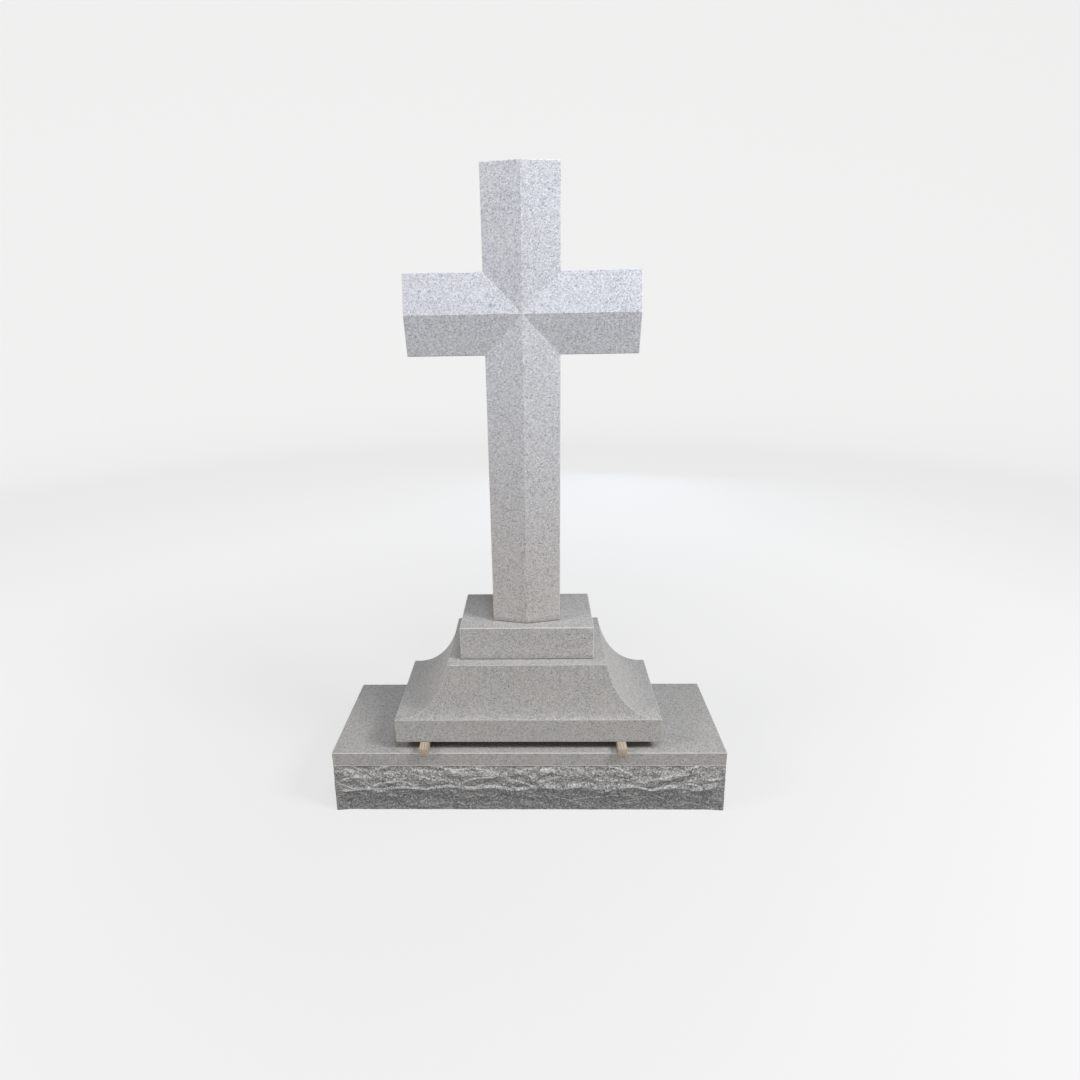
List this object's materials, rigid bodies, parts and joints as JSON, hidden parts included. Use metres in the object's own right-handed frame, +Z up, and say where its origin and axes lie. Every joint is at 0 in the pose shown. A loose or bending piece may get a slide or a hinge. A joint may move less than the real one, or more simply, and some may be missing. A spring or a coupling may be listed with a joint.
{
  "type": "cross memorial",
  "caption": "Granite memorial cross with a pitched front, standing on an upper block, a swept plinth on wooden packing strips and a rock-pitched base.",
  "frame": {"origin": "middle of the base's flat underside", "axes": "+Z up, +X to the viewer's right, the pitched front of the cross faces -Y"},
  "size_m": [0.9276, 0.331, 1.383],
  "materials": {
    "axed_granite": "fine-axed, matt",
    "rock_pitched_granite": "sawn on top, rock-pitched round the sides, matt",
    "sawn_wood": "rough-sawn, bare"
  },
  "bodies": {
    "root": {"base": "rock_pitched_granite", "packing_strip_left": "sawn_wood", "packing_strip_right": "sawn_wood", "plinth": "axed_granite", "upper_block": "axed_granite", "cross": "axed_granite"}
  },
  "joints": []
}
